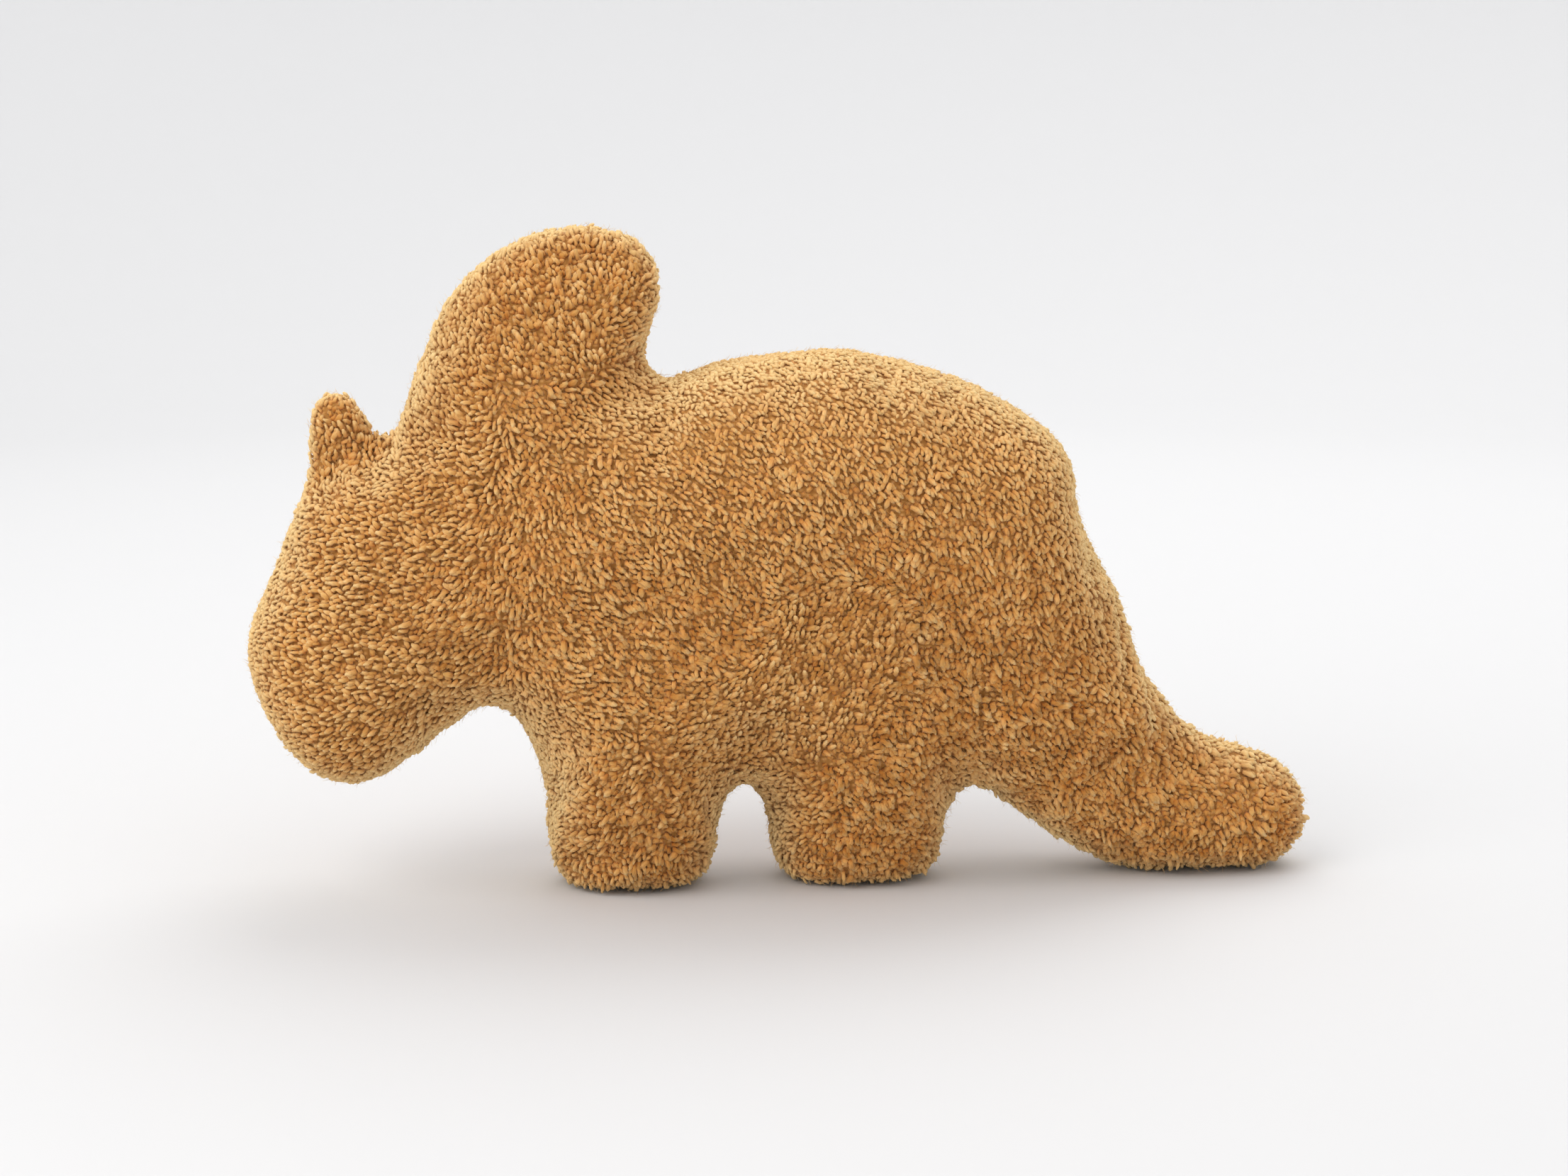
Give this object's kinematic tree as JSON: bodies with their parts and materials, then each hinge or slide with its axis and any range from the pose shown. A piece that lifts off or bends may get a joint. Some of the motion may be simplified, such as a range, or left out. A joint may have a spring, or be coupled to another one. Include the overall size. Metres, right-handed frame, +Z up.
{
  "type": "stuffed dinosaur",
  "caption": "Horned dinosaur cushion toy: mirrored teddy-fleece panels sewn round one outline and filled with fibre, standing on leg and tail lobes.",
  "frame": {"origin": "on the floor, under the middle of the length, in the plane of the seam", "axes": "+X towards the tail, -X towards the head, +Z up, -Y out of the toy's left-hand side"},
  "size_m": [0.4, 0.1132, 0.2467],
  "materials": {
    "fleece": "curled-pile teddy fleece",
    "thread": "spun polyester sewing thread",
    "satin": "woven satin ribbon",
    "fibrefill": "hollow polyester fibre"
  },
  "bodies": {
    "root": {"left_panel": "fleece", "right_panel": "fleece", "needle_thread": "thread", "bobbin_thread": "thread", "closing_thread": "thread", "care_label": "satin", "horn_fill": "fibrefill", "head_fill": "fibrefill", "frill_fill": "fibrefill", "chest_fill": "fibrefill", "belly_fill": "fibrefill", "rump_fill": "fibrefill", "tail_root_fill": "fibrefill", "tail_tip_fill": "fibrefill", "hind_leg_fill": "fibrefill", "front_leg_fill": "fibrefill"}
  },
  "joints": []
}
